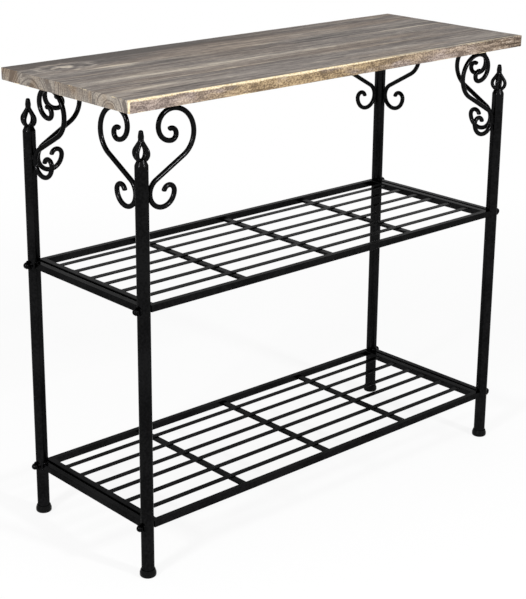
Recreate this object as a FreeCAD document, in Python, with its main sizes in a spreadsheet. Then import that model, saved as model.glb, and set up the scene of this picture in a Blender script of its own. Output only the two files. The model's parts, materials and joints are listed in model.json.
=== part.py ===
import FreeCAD, Part
import math
import operator
import os

import Sketcher
from FreeCAD import Placement, Rotation, Vector

# Bakers rack: a pine top carried by eight scrolls on four tube posts, with two slatted shelves.
# Origin on the floor under the middle of the rack. X runs along the length, the front is at -Y, +Z is up.

# Driving sizes in millimetres and degrees: name, value, meaning
SIZES = (
    ("board_length", "800", "length of the pine top"),
    ("board_depth", "300", "depth of the pine top, front to rear"),
    ("board_thickness", "18", "thickness of the glued pine"),
    ("front_board_width", "81", "front plank of the top"),
    ("middle_board_width", "85.5", "middle plank of the top"),
    ("board_edge_round", "1.2", "worn rounding on the outer edges of the top"),
    ("underside_height", "687.5", "floor to the underside of the top"),
    ("post_diameter", "19", "round tube of the posts"),
    ("post_wall", "1.5", "wall of the post tube"),
    ("overhang_long", "32", "top past the post centres at each end"),
    ("overhang_deep", "17", "top past the post centres at the front and the rear"),
    ("post_drop", "77.5", "top end of the post tube below the underside of the top"),
    ("fit_gap", "0.3", "clearance where pieces slide together or meet on a curve"),
    ("foot_diameter", "24.4", "widest part of the push-on foot"),
    ("foot_rim_diameter", "21", "upper rim of the foot"),
    ("foot_bulge_height", "6.5", "top of the widest part of the foot"),
    ("foot_height", "11.5", "height of the foot"),
    ("foot_floor", "3", "floor of the foot under the tube"),
    ("foot_round", "3", "rounding of the foot"),
    ("spigot_length", "14", "finial plug inside the post tube"),
    ("collar_height", "1.5", "straight collar of the finial"),
    ("dome_height", "8", "tapered dome above the collar"),
    ("dome_round", "3.5", "rounding where the dome starts"),
    ("neck_diameter", "12", "top of the dome"),
    ("rib_diameter", "5.8", "bars of the basket"),
    ("rib_foot_radius", "4", "rib centre from the axis where it leaves the neck"),
    ("rib_sink", "1", "how far each rib is let into the neck and the tip"),
    ("basket_swell_radius", "10", "bend of the ribs round the belly of the basket"),
    ("basket_waist_radius", "8", "opposite bend of the ribs below the tip"),
    ("basket_rise_angle", "20", "slope at which a rib leaves the neck"),
    ("basket_belly_angle", "105", "turn of a rib round the belly"),
    ("basket_run", "10.8", "straight run of a rib from the belly to the waist"),
    ("basket_waist_angle", "35", "turn back of a rib at the waist"),
    ("basket_facing_angle", "24", "direction of the first rib about the post"),
    ("tip_base_diameter", "7.8", "tip of the finial where it stands on the basket"),
    ("tip_diameter", "8.6", "widest part of the tip"),
    ("tip_swell_height", "4", "widest part of the tip above the basket"),
    ("tip_swell_round", "12", "rounding of the widest part"),
    ("tip_end_diameter", "5.8", "upper end of the tip"),
    ("tip_length", "13", "length of the tip above the basket"),
    ("tip_end_round", "2.6", "rounding of the upper end"),
    ("scroll_bar", "7.2", "round bar of the scrolls"),
    ("scroll_slope_angle", "29.5", "slope of the straight run of a scroll"),
    ("scroll_run", "55", "length of the straight run"),
    ("scroll_end_round", "2", "forged rounding of the bar ends"),
    ("low_curl_radius", "21", "lower curl, which lies against the post"),
    ("low_curl_angle", "175", "turn of the lower curl below the weld"),
    ("low_hook_radius", "9", "inner hook of the lower curl"),
    ("low_hook_angle", "178", "turn of the lower hook"),
    ("crown_radius", "36", "outer bend of the upper curl, up to its highest point"),
    ("shoulder_radius", "27.5", "upper curl after the highest point"),
    ("shoulder_angle", "36", "turn of that bend"),
    ("inner_curl_radius", "21.3", "inner bend of the upper curl"),
    ("inner_curl_angle", "147", "turn of the inner bend"),
    ("top_hook_radius", "8.3", "hook that ends the upper curl"),
    ("top_hook_angle", "208", "turn of the upper hook"),
    ("tab_thickness", "2", "tab between a scroll and the top"),
    ("tab_length", "14", "tab along its scroll"),
    ("tab_outer", "5", "tab from the scroll towards the outside"),
    ("tab_inner", "17", "tab from the scroll towards the inside"),
    ("screw_offset", "10.5", "screw from the scroll, towards the inside"),
    ("screw_diameter", "3.6", "shank of the wood screws"),
    ("screw_length", "14", "screw under its head"),
    ("screw_point", "3", "tapered point of the screw"),
    ("screw_head_diameter", "7", "head of the screw"),
    ("screw_head_height", "2.2", "height of the head"),
    ("screw_head_bevel", "1", "bevel of the head"),
    ("rail_size", "10", "square tube of the rails"),
    ("rail_wall", "1.2", "wall of the square tube"),
    ("rail_corner", "1", "rounded corner of the square tube"),
    ("lower_shelf_height", "80", "floor to the middle of the lower rails"),
    ("upper_shelf_height", "408", "floor to the middle of the upper rails"),
    ("cross_bar_width", "10", "bars under the slats, along the length"),
    ("cross_bar_thickness", "4", "bars under the slats, upright"),
    ("slat_width", "10", "flat strip of the slats"),
    ("slat_thickness", "1.5", "thickness of the slats"),
    ("slat_middle_shift", "2.4", "how far the two middle slats are set in from an even pitch"),
    ("stud_diameter", "6", "stud on each shelf corner"),
    ("stud_reach", "5", "stud inside the cap nut"),
    ("washer_diameter", "14", "saddle washer"),
    ("washer_thickness", "1.2", "saddle washer over the crest of the post"),
    ("nut_flats", "10", "cap nut across flats"),
    ("nut_hex_height", "3.5", "hexagon of the cap nut"),
    ("nut_dome_diameter", "9.2", "dome of the cap nut"),
    ("nut_height", "7.5", "whole cap nut"),
    ("nut_round", "3.8", "rounding of the dome"),
)

SLATS_PER_SHELF = 6
CROSS_BARS_PER_SHELF = 3
RIBS_PER_BASKET = 4
NUT_SIDES = 6

# Points of a sketch's own geometry, and its axes and origin
START_POINT, END_POINT, CENTRE_POINT = range(1, 4)
X_AXIS, Y_AXIS = -1, -2
ORIGIN = (-1, 1)

# Edges are picked by their place, to within this distance
EDGE_TOLERANCE = 1e-4

SIDES = (("left", -1), ("right", 1))
FACES = (("front", -1), ("rear", 1))
CORNERS = [(f"{face}_{side}", along, across) for side, along in SIDES for face, across in FACES]

ARITHMETIC = {"+": operator.add, "-": operator.sub, "*": operator.mul, "/": operator.truediv}

doc = FreeCAD.newDocument("bakers_rack")
sheet = doc.addObject("Spreadsheet::Sheet", "sizes")
for row, (alias, number, meaning) in enumerate(SIZES, start=1):
    sheet.set(f"A{row}", meaning)
    sheet.set(f"B{row}", number)
    sheet.setAlias(f"B{row}", alias)
doc.recompute()


class Size:
    """A number together with the sheet formula that gives it."""

    def __init__(self, value, formula):
        self.value = value
        self.formula = formula

    def __add__(self, other):
        return worked_out(self, "+", other)

    def __radd__(self, other):
        return worked_out(other, "+", self)

    def __sub__(self, other):
        return worked_out(self, "-", other)

    def __rsub__(self, other):
        return worked_out(other, "-", self)

    def __mul__(self, other):
        return worked_out(self, "*", other)

    def __rmul__(self, other):
        return worked_out(other, "*", self)

    def __truediv__(self, other):
        return worked_out(self, "/", other)

    def __neg__(self):
        return worked_out(0, "-", self)


def as_size(number):
    return number if isinstance(number, Size) else Size(number, repr(number))


def worked_out(left, sign, right):
    left = as_size(left)
    right = as_size(right)
    return Size(ARITHMETIC[sign](left.value, right.value), f"({left.formula} {sign} {right.formula})")


def sine(angle):
    return Size(math.sin(math.radians(angle.value)), f"sin({angle.formula} * 1deg)")


def cosine(angle):
    return Size(math.cos(math.radians(angle.value)), f"cos({angle.formula} * 1deg)")


def size(alias):
    return Size(float(sheet.get(alias)), f"sizes.{alias}")


# Bodies, sketches and features

def new_body(label):
    body = doc.addObject("PartDesign::Body", label)
    body.Label = label
    return body


def origin_feature(body, role):
    return next(feature for feature in body.Origin.OriginFeatures if feature.Role == role)


def new_sketch(body, name, plane_role):
    sketch = body.newObject("Sketcher::SketchObject", name)
    sketch.AttachmentSupport = [(origin_feature(body, plane_role), "")]
    sketch.MapMode = "FlatFace"
    return sketch


def tie(sketch, kind, *where, to):
    """Add a measured constraint and bind it to the sheet."""
    start_value = math.radians(to.value) if kind == "Angle" else to.value
    index = sketch.addConstraint(Sketcher.Constraint(kind, *where, start_value))
    sketch.setExpression(f"Constraints[{index}]", to.formula)


def locate(sketch, geometry, point, x, y):
    """Fix a point of the sketch at x, y, where a plain 0 puts it on that axis."""
    for kind, axis, distance in (("DistanceX", Y_AXIS, x), ("DistanceY", X_AXIS, y)):
        if isinstance(distance, Size):
            tie(sketch, kind, *ORIGIN, geometry, point, to=distance)
        else:
            sketch.addConstraint(Sketcher.Constraint("PointOnObject", geometry, point, axis))


def draw_polygon(sketch, corners):
    first = sketch.GeometryCount
    count = len(corners)
    points = [Vector(as_size(x).value, as_size(y).value, 0) for x, y in corners]
    for index in range(count):
        sketch.addGeometry(Part.LineSegment(points[index], points[(index + 1) % count]), False)
    for index in range(count):
        following = first + (index + 1) % count
        sketch.addConstraint(
            Sketcher.Constraint("Coincident", first + index, END_POINT, following, START_POINT))
    for index, (x, y) in enumerate(corners):
        locate(sketch, first + index, START_POINT, x, y)


def draw_rectangle(sketch, width, height):
    half_width = width / 2
    half_height = height / 2
    draw_polygon(sketch, [(-half_width, -half_height), (half_width, -half_height),
                          (half_width, half_height), (-half_width, half_height)])


def draw_circle(sketch, diameter, x=0, y=0):
    centre = Vector(as_size(x).value, as_size(y).value, 0)
    circle = sketch.addGeometry(Part.Circle(centre, Vector(0, 0, 1), diameter.value / 2), False)
    locate(sketch, circle, CENTRE_POINT, x, y)
    tie(sketch, "Diameter", circle, to=diameter)


def heading_vector(degrees):
    return Vector(math.cos(math.radians(degrees)), math.sin(math.radians(degrees)), 0)


def draw_chain(sketch, start, heading, steps):
    """Draw arcs and straight runs end to end, each tangent to the one before.

    A step is ("run", length) or ("left" or "right", radius, turn). Returns each step's geometry number.
    """
    numbers = []
    here = Vector(start)
    last_end = None
    for kind, *sizes in steps:
        if kind == "run":
            ahead = here + heading_vector(heading) * sizes[0].value
            number = sketch.addGeometry(Part.LineSegment(here, ahead), False)
            first_point, last_point = START_POINT, END_POINT
            tie(sketch, "Distance", number, to=sizes[0])
        else:
            radius, turn = sizes
            side = 1 if kind == "left" else -1
            centre = here + heading_vector(heading + side * 90) * radius.value
            from_angle = math.radians(heading - side * 90)
            to_angle = from_angle + side * math.radians(turn.value)
            circle = Part.Circle(centre, Vector(0, 0, 1), radius.value)
            arc = Part.ArcOfCircle(circle, min(from_angle, to_angle), max(from_angle, to_angle))
            number = sketch.addGeometry(arc, False)
            first_point, last_point = START_POINT, END_POINT
            if kind == "right":
                first_point, last_point = END_POINT, START_POINT
            heading += side * turn.value
            ahead = centre + heading_vector(heading - side * 90) * radius.value
            tie(sketch, "Radius", number, to=radius)
            tie(sketch, "Angle", number, to=turn)
        if last_end:
            sketch.addConstraint(Sketcher.Constraint("Tangent", *last_end, number, first_point))
        last_end = (number, last_point)
        numbers.append(number)
        here = ahead
    return numbers


def add_pad(body, sketch, length, symmetric=False):
    pad = body.newObject("PartDesign::Pad", "Pad")
    pad.Profile = sketch
    pad.Midplane = symmetric
    pad.setExpression("Length", length.formula)
    return pad


def add_through_cut(body, sketch):
    """Cut the sketch through the whole body, both ways from its plane."""
    pocket = body.newObject("PartDesign::Pocket", "ThroughCut")
    pocket.Profile = sketch
    pocket.Type = "ThroughAll"
    pocket.Midplane = True
    return pocket


def add_blind_hole(body, sketch, depth):
    """Cut the sketch into the body on the side that its plane faces."""
    pocket = body.newObject("PartDesign::Pocket", "BlindHole")
    pocket.Profile = sketch
    pocket.Reversed = True
    pocket.setExpression("Length", depth.formula)
    return pocket


def add_revolution(body, sketch, axis="V_Axis"):
    revolution = body.newObject("PartDesign::Revolution", "Revolution")
    revolution.Profile = sketch
    revolution.ReferenceAxis = (sketch, [axis])
    revolution.Angle = 360
    return revolution


def add_round_bar(body, path, diameter, start_parameter):
    """Sweep a round bar along the path, from the end of its first edge."""
    section = body.newObject("Sketcher::SketchObject", "BarSection")
    section.AttachmentSupport = [(path, "Edge1")]
    section.MapMode = "NormalToEdge"
    section.MapPathParameter = start_parameter
    draw_circle(section, diameter)
    doc.recompute()
    pipe = body.newObject("PartDesign::AdditivePipe", "RoundBar")
    pipe.Profile = section
    pipe.Spine = path
    return pipe


def add_fillet(body, radius, is_wanted):
    """Round every edge of the body for which is_wanted(edge) holds."""
    doc.recompute()
    base = body.Tip
    names = [f"Edge{number}" for number, edge in enumerate(base.Shape.Edges, start=1) if is_wanted(edge)]
    fillet = body.newObject("PartDesign::Fillet", "Rounding")
    fillet.Base = (base, names)
    fillet.setExpression("Radius", radius.formula)
    return fillet


def is_circle_at(edge, radius, along, place):
    """Tell whether an edge is a full circle of this radius whose centre lies at place on one axis."""
    if not isinstance(edge.Curve, Part.Circle) or not edge.isClosed():
        return False
    same_radius = abs(edge.Curve.Radius - radius.value) < EDGE_TOLERANCE
    return same_radius and abs(getattr(edge.Curve.Center, along) - as_size(place).value) < EDGE_TOLERANCE


def place(item, x, y, z, turn=0):
    """Put an object at x, y, z, turned about its own upright axis."""
    item.Placement = Placement(Vector(0, 0, 0), Rotation(Vector(0, 0, 1), turn))
    for axis, distance in (("x", x), ("y", y), ("z", z)):
        item.setExpression(f"Placement.Base.{axis}", as_size(distance).formula)


# Values that several pieces share

post_radius = size("post_diameter") / 2
half_long = size("board_length") / 2 - size("overhang_long")
half_deep = size("board_depth") / 2 - size("overhang_deep")
post_spacing_deep = 2 * half_deep
post_top = size("underside_height") - size("post_drop")
fit_gap = size("fit_gap")
bar_radius = size("scroll_bar") / 2
rail_size = size("rail_size")

# A scroll in its own frame: u from the post's axis, w from the height where it lies against the post
slope = size("scroll_slope_angle")
weld_u = post_radius + fit_gap + bar_radius
run_start_u = weld_u + size("low_curl_radius") * (1 - sine(slope))
crown_u = run_start_u + size("scroll_run") * cosine(slope) - size("crown_radius") * sine(slope)
crown_w = (size("low_curl_radius") * cosine(slope) + size("scroll_run") * sine(slope)
           + size("crown_radius") * (1 + cosine(slope)))
tab_underside = size("underside_height") - size("tab_thickness")
weld_height = tab_underside - fit_gap - bar_radius - crown_w

shelf_half_length = half_long - post_radius - fit_gap
shelf_half_depth = half_deep + rail_size / 2
slat_length = 2 * (shelf_half_length - rail_size)
SHELVES = (("lower", size("lower_shelf_height")), ("upper", size("upper_shelf_height")))
stud_hole = size("stud_diameter") + 2 * fit_gap
screw_hole = size("screw_diameter") + 2 * fit_gap

nodes = []


def finish_node(item):
    nodes.append(item)
    return item


def group_node(label, items):
    group = doc.addObject("Part::Compound", label)
    group.Label = label
    group.Links = items
    return finish_node(group)


# Places of the scrolls about their posts, and of the screws beside their crowns

def scroll_stations():
    """Give every scroll as name, post x, post y, turn about the post, and the side that faces inwards."""
    stations = []
    for corner, along, across in CORNERS:
        post_x = along * half_long
        post_y = across * half_deep
        long_turn = 0 if along < 0 else 180
        end_turn = 90 if across < 0 else -90
        stations.append((f"scroll_long_{corner}", post_x, post_y, long_turn, along * across))
        stations.append((f"scroll_end_{corner}", post_x, post_y, end_turn, -along * across))
    return stations


def station_point(post_x, post_y, turn, u, v):
    """Turn a point from a scroll's own frame into the rack's frame."""
    cos_turn = round(math.cos(math.radians(turn)))
    sin_turn = round(math.sin(math.radians(turn)))
    return post_x + cos_turn * u - sin_turn * v, post_y + sin_turn * u + cos_turn * v


def screw_points():
    points = []
    for _, post_x, post_y, turn, inward in scroll_stations():
        points.append(station_point(post_x, post_y, turn, crown_u, inward * size("screw_offset")))
    return points


# Pine top: three planks edge to edge, with blind holes for the screws

def make_plank(label, width, centre_y, outer_side):
    body = new_body(label)
    outline = new_sketch(body, "PlankOutline", "XY_Plane")
    draw_rectangle(outline, size("board_length"), width)
    add_pad(body, outline, size("board_thickness"))
    holes = [(x, y - centre_y) for x, y in screw_points() if abs((y - centre_y).value) < width.value / 2]
    if holes:
        drilling = new_sketch(body, "ScrewHoles", "XY_Plane")
        for x, y in holes:
            draw_circle(drilling, screw_hole, x, y)
        hole_depth = size("screw_length") - size("tab_thickness") + fit_gap
        add_blind_hole(body, drilling, hole_depth)
    half_length = size("board_length").value / 2
    half_width = width.value / 2

    def is_worn(edge):
        middle = edge.BoundBox.Center
        at_end = abs(abs(middle.x) - half_length) < EDGE_TOLERANCE
        along_end = at_end and edge.BoundBox.ZLength < EDGE_TOLERANCE
        on_outer_face = abs(middle.y - outer_side * half_width) < EDGE_TOLERANCE
        return on_outer_face or along_end if outer_side else along_end

    add_fillet(body, size("board_edge_round"), is_worn)
    place(body, 0, centre_y, size("underside_height"))
    return finish_node(body)


def make_top():
    half_depth = size("board_depth") / 2
    front_width = size("front_board_width")
    middle_width = size("middle_board_width")
    rear_width = size("board_depth") - front_width - middle_width
    make_plank("top_board_front", front_width, front_width / 2 - half_depth, -1)
    make_plank("top_board_middle", middle_width, front_width + middle_width / 2 - half_depth, 0)
    make_plank("top_board_rear", rear_width, half_depth - rear_width / 2, 1)


# Posts: round tube, drilled along the length for the shelf studs

def make_post(corner, along, across):
    body = new_body(f"post_{corner}")
    section = new_sketch(body, "TubeSection", "XY_Plane")
    draw_circle(section, size("post_diameter"))
    draw_circle(section, size("post_diameter") - 2 * size("post_wall"))
    add_pad(body, section, post_top - size("foot_floor"))
    drilling = new_sketch(body, "StudHoles", "YZ_Plane")
    for _, height in SHELVES:
        draw_circle(drilling, stud_hole, 0, height - size("foot_floor"))
    add_through_cut(body, drilling)
    place(body, along * half_long, across * half_deep, size("foot_floor"))
    return finish_node(body)


# Feet: bulged caps pushed on to the tubes

def make_foot(corner, along, across):
    body = new_body(f"foot_{corner}")
    profile = new_sketch(body, "FootProfile", "XZ_Plane")
    foot_radius = size("foot_diameter") / 2
    rim_radius = size("foot_rim_diameter") / 2
    bore_radius = post_radius + fit_gap
    draw_polygon(profile, [(0, 0), (foot_radius, 0), (foot_radius, size("foot_bulge_height")),
                           (rim_radius, size("foot_height")), (bore_radius, size("foot_height")),
                           (bore_radius, size("foot_floor")), (0, size("foot_floor"))])
    add_revolution(body, profile)

    def is_bulge(edge):
        at_floor = is_circle_at(edge, foot_radius, "z", 0)
        return at_floor or is_circle_at(edge, foot_radius, "z", size("foot_bulge_height"))

    add_fillet(body, size("foot_round"), is_bulge)
    place(body, along * half_long, across * half_deep, 0)
    return finish_node(body)


# Finials: plug and dome, an onion-shaped basket of bent ribs and a bud-shaped tip, welded into one piece

def make_finial(corner, along, across):
    body = new_body(f"finial_{corner}")
    spigot_radius = post_radius - size("post_wall") - fit_gap
    neck_radius = size("neck_diameter") / 2
    neck_height = size("collar_height") + size("dome_height")
    stem = new_sketch(body, "DomeProfile", "XZ_Plane")
    draw_polygon(stem, [(0, -size("spigot_length")), (spigot_radius, -size("spigot_length")),
                        (spigot_radius, 0), (post_radius, 0), (post_radius, size("collar_height")),
                        (neck_radius, neck_height), (0, neck_height)])
    add_revolution(body, stem)
    add_fillet(body, size("dome_round"),
               lambda edge: is_circle_at(edge, post_radius, "z", size("collar_height")))

    rise = size("basket_rise_angle")
    belly_turn = size("basket_belly_angle")
    swell_radius = size("basket_swell_radius")
    waist_radius = size("basket_waist_radius")
    rib_foot = size("rib_foot_radius")
    rib_start = neck_height - size("rib_sink")
    path = new_sketch(body, "RibPath", "XZ_Plane")
    steps = [("left", swell_radius, belly_turn), ("run", size("basket_run")),
             ("right", waist_radius, size("basket_waist_angle"))]
    belly, _, _ = draw_chain(path, Vector(rib_foot.value, rib_start.value, 0), rise.value, steps)
    belly_u = rib_foot - swell_radius * sine(rise)
    locate(path, belly, CENTRE_POINT, belly_u, rib_start + swell_radius * cosine(rise))
    tie(path, "DistanceY", *ORIGIN, belly, START_POINT, to=rib_start)
    rib = add_round_bar(body, path, size("rib_diameter"), 0)
    ribs = body.newObject("PartDesign::PolarPattern", "Basket")
    ribs.Originals = [rib]
    ribs.Axis = (origin_feature(body, "Z_Axis"), [""])
    ribs.Angle = 360
    ribs.Occurrences = RIBS_PER_BASKET
    body.Tip = ribs

    crest = rise + belly_turn
    belly_rise = swell_radius * (cosine(rise) - cosine(crest))
    run_rise = size("basket_run") * sine(crest)
    waist_rise = waist_radius * (cosine(crest - size("basket_waist_angle")) - cosine(crest))
    tip_base = rib_start + belly_rise + run_rise + waist_rise - size("rib_sink")
    tip_swell = tip_base + size("tip_swell_height")
    tip_end = tip_base + size("tip_length")
    base_radius = size("tip_base_diameter") / 2
    tip_radius = size("tip_diameter") / 2
    end_radius = size("tip_end_diameter") / 2
    tip = new_sketch(body, "TipProfile", "XZ_Plane")
    draw_polygon(tip, [(0, tip_base), (base_radius, tip_base), (tip_radius, tip_swell),
                       (end_radius, tip_end), (0, tip_end)])
    add_revolution(body, tip)
    add_fillet(body, size("tip_swell_round"), lambda edge: is_circle_at(edge, tip_radius, "z", tip_swell))
    add_fillet(body, size("tip_end_round"), lambda edge: is_circle_at(edge, end_radius, "z", tip_end))
    place(body, along * half_long, across * half_deep, post_top, size("basket_facing_angle").value)
    return finish_node(body)


# Scrolls: one round bar each, bent into a small lower curl and a large upper curl

def make_scroll(label, post_x, post_y, turn):
    body = new_body(label)
    low_radius = size("low_curl_radius")
    low_turn = size("low_curl_angle")
    hook_radius = size("low_hook_radius")
    hook_turn = size("low_hook_angle")
    # The bar starts at the tip of the lower hook, found by going down from the weld through both bends
    curl_angle = 180 + low_turn.value
    hook_angle = curl_angle + hook_turn.value
    curl_centre = Vector((weld_u + low_radius).value, 0, 0)
    hook_centre = curl_centre + heading_vector(curl_angle) * (low_radius - hook_radius).value
    bar_start = hook_centre + heading_vector(hook_angle) * hook_radius.value
    path = new_sketch(body, "ScrollPath", "XZ_Plane")
    numbers = draw_chain(path, bar_start, hook_angle - 90, [
        ("right", hook_radius, hook_turn),
        ("right", low_radius, low_turn + 90 - slope),
        ("run", size("scroll_run")),
        ("left", size("crown_radius"), 180 - slope),
        ("left", size("shoulder_radius"), size("shoulder_angle")),
        ("left", size("inner_curl_radius"), size("inner_curl_angle")),
        ("left", size("top_hook_radius"), size("top_hook_angle"))])
    locate(path, numbers[1], CENTRE_POINT, weld_u + low_radius, 0)
    tie(path, "Angle", numbers[2], to=slope)
    add_round_bar(body, path, size("scroll_bar"), 1)
    vertexes = path.Shape.Wires[0].OrderedVertexes
    bar_ends = (vertexes[0].Point, vertexes[-1].Point)

    def is_bar_end(edge):
        middle = edge.BoundBox.Center
        return edge.isClosed() and any(middle.distanceToPoint(end) < EDGE_TOLERANCE for end in bar_ends)

    add_fillet(body, size("scroll_end_round"), is_bar_end)
    place(body, post_x, post_y, weld_height, turn)
    return finish_node(body)


# Tabs welded on the scrolls, and the wood screws that hold the top down

def make_tab(post_x, post_y, turn, inward):
    body = new_body("tab")
    outline = new_sketch(body, "TabOutline", "XY_Plane")
    left = crown_u - size("tab_length") / 2
    right = crown_u + size("tab_length") / 2
    outer = -inward * size("tab_outer")
    inner = inward * size("tab_inner")
    draw_polygon(outline, [(left, outer), (right, outer), (right, inner), (left, inner)])
    draw_circle(outline, screw_hole, crown_u, inward * size("screw_offset"))
    add_pad(body, outline, size("tab_thickness"))
    place(body, post_x, post_y, tab_underside, turn)
    return body


def make_screw(x, y):
    body = new_body("screw")
    profile = new_sketch(body, "ScrewProfile", "XZ_Plane")
    head_radius = size("screw_head_diameter") / 2
    head_height = size("screw_head_height")
    bevel = size("screw_head_bevel")
    shank_radius = size("screw_diameter") / 2
    point_start = size("screw_length") - size("screw_point")
    draw_polygon(profile, [(0, -head_height), (head_radius - bevel, -head_height),
                           (head_radius, bevel - head_height), (head_radius, 0), (shank_radius, 0),
                           (shank_radius, point_start), (0, size("screw_length"))])
    add_revolution(body, profile)
    place(body, x, y, tab_underside)
    return body


# Rails: square tube, mitred at the corners of a shelf or coped against two posts

def make_rail_blank(label, length):
    body = new_body(label)
    section = new_sketch(body, "TubeSection", "YZ_Plane")
    draw_rectangle(section, rail_size, rail_size)
    add_pad(body, section, length, symmetric=True)

    def is_long_corner(edge):
        return edge.BoundBox.XLength > length.value - EDGE_TOLERANCE

    add_fillet(body, size("rail_corner"), is_long_corner)
    bore = new_sketch(body, "TubeBore", "YZ_Plane")
    inside = rail_size - 2 * size("rail_wall")
    draw_rectangle(bore, inside, inside)
    add_through_cut(body, bore)
    return body


def make_coped_rail(label, x, z):
    """A rail across one end of the rack, with its ends shaped to the two posts."""
    body = make_rail_blank(label, post_spacing_deep)
    cope = new_sketch(body, "Copes", "XY_Plane")
    for side in (-1, 1):
        draw_circle(cope, size("post_diameter") + 2 * fit_gap, side * half_deep, 0)
    add_through_cut(body, cope)
    place(body, x, 0, z, 90)
    return finish_node(body)


def make_mitred_rail(label, half_length, x, y, z, turn):
    """One side of a shelf frame. Its own +Y face is the outer one."""
    body = make_rail_blank(label, 2 * half_length)
    mitre = new_sketch(body, "Mitres", "XY_Plane")
    half_rail = rail_size / 2
    for side in (-1, 1):
        end = side * half_length
        draw_polygon(mitre, [(end, half_rail), (end, -half_rail), (end - side * rail_size, -half_rail)])
    add_through_cut(body, mitre)
    place(body, x, y, z, turn)
    return finish_node(body)


def make_flat_bar(label, width, thickness, length, x, y, z, turn):
    """A flat bar on its underside middle, along its own X."""
    body = new_body(label)
    section = new_sketch(body, "BarSection", "YZ_Plane")
    half_width = width / 2
    draw_polygon(section, [(-half_width, 0), (half_width, 0),
                           (half_width, thickness), (-half_width, thickness)])
    add_pad(body, section, length, symmetric=True)
    place(body, x, y, z, turn)
    return finish_node(body)


def slat_places():
    """Slats lie at an even pitch between the rails, with the middle two set a little closer together."""
    pitch = post_spacing_deep / (SLATS_PER_SHELF + 1)
    places = []
    for index in range(SLATS_PER_SHELF):
        steps_out = index - (SLATS_PER_SHELF - 1) / 2
        y = steps_out * pitch
        if abs(steps_out) < 1:
            y = y - math.copysign(1, steps_out) * size("slat_middle_shift")
        places.append(y)
    return places


def make_shelf(level, height):
    prefix = f"{level}_shelf"
    end_x = shelf_half_length - rail_size / 2
    make_mitred_rail(f"{prefix}_front_rail", shelf_half_length, 0, -half_deep, height, 180)
    make_mitred_rail(f"{prefix}_rear_rail", shelf_half_length, 0, half_deep, height, 0)
    make_mitred_rail(f"{prefix}_left_rail", shelf_half_depth, -end_x, 0, height, 90)
    make_mitred_rail(f"{prefix}_right_rail", shelf_half_depth, end_x, 0, height, -90)
    bar_base = height - size("cross_bar_thickness") / 2
    bar_length = post_spacing_deep - rail_size
    bay = 2 * end_x / (CROSS_BARS_PER_SHELF + 1)
    for index in range(CROSS_BARS_PER_SHELF):
        bar_x = (index - (CROSS_BARS_PER_SHELF - 1) / 2) * bay
        make_flat_bar(f"{prefix}_cross_bar_{index + 1}", size("cross_bar_width"),
                      size("cross_bar_thickness"), bar_length, bar_x, 0, bar_base, 90)
    slat_base = height + size("cross_bar_thickness") / 2
    for index, slat_y in enumerate(slat_places(), start=1):
        make_flat_bar(f"{prefix}_slat_{index}", size("slat_width"), size("slat_thickness"),
                      slat_length, 0, slat_y, slat_base, 0)
    for side, along in SIDES:
        make_coped_rail(f"{level}_end_rail_{side}", along * half_long, height)


# Shelf fixings: a stud on each shelf corner runs through the post into a cap nut on a saddle washer

def make_stud(x, y, z, along):
    stud = doc.addObject("Part::Cylinder", "stud")
    stud.setExpression("Radius", (size("stud_diameter") / 2).formula)
    length = fit_gap + size("post_diameter") + size("washer_thickness") + size("stud_reach")
    stud.setExpression("Height", length.formula)
    place(stud, x, y, z)
    stud.Placement.Rotation = Rotation(Vector(0, 1, 0), along * 90)
    return stud


def make_washer(x, y, z, turn):
    body = new_body("washer")
    ring = new_sketch(body, "WasherRing", "YZ_Plane")
    draw_circle(ring, size("washer_diameter"))
    draw_circle(ring, stud_hole)
    add_pad(body, ring, post_radius + size("washer_thickness"))
    saddle = new_sketch(body, "Saddle", "XY_Plane")
    draw_circle(saddle, size("post_diameter") + 2 * fit_gap)
    add_through_cut(body, saddle)
    place(body, x, y, z, turn)
    return body


def make_cap_nut(x, y, z, turn):
    body = new_body("cap_nut")
    hexagon = new_sketch(body, "Hexagon", "YZ_Plane")
    corner_radius = size("nut_flats") / (2 * math.cos(math.pi / NUT_SIDES))
    angles = [2 * math.pi * (corner + 0.5) / NUT_SIDES for corner in range(NUT_SIDES)]
    corners = [(corner_radius * math.cos(angle), corner_radius * math.sin(angle)) for angle in angles]
    draw_polygon(hexagon, corners)
    add_pad(body, hexagon, size("nut_hex_height"))
    dome_radius = size("nut_dome_diameter") / 2
    dome = new_sketch(body, "DomeProfile", "XY_Plane")
    draw_polygon(dome, [(0, 0), (0, dome_radius), (size("nut_height"), dome_radius), (size("nut_height"), 0)])
    add_revolution(body, dome, "H_Axis")
    add_fillet(body, size("nut_round"),
               lambda edge: is_circle_at(edge, dome_radius, "x", size("nut_height")))
    thread = new_sketch(body, "Thread", "YZ_Plane")
    draw_circle(thread, stud_hole)
    add_blind_hole(body, thread, size("stud_reach") + fit_gap)
    place(body, x, y, z, turn)
    return body


def make_shelf_fixings():
    studs = []
    washers = []
    nuts = []
    nut_base = half_long + post_radius + size("washer_thickness")
    for _, height in SHELVES:
        for _, along, across in CORNERS:
            turn = 0 if along > 0 else 180
            y = across * half_deep
            studs.append(make_stud(along * shelf_half_length, y, height, along))
            washers.append(make_washer(along * half_long, y, height, turn))
            nuts.append(make_cap_nut(along * nut_base, y, height, turn))
    group_node("shelf_studs", studs)
    group_node("saddle_washers", washers)
    group_node("cap_nuts", nuts)


# Put the rack together

make_top()
for corner, along, across in CORNERS:
    make_post(corner, along, across)
    make_foot(corner, along, across)
    make_finial(corner, along, across)
for label, post_x, post_y, turn, _ in scroll_stations():
    make_scroll(label, post_x, post_y, turn)
for level, height in SHELVES:
    make_shelf(level, height)
make_shelf_fixings()
group_node("board_tabs", [make_tab(x, y, turn, inward) for _, x, y, turn, inward in scroll_stations()])
group_node("board_screws", [make_screw(x, y) for x, y in screw_points()])
doc.recompute()

# Check everything, then write one file for each piece

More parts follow.
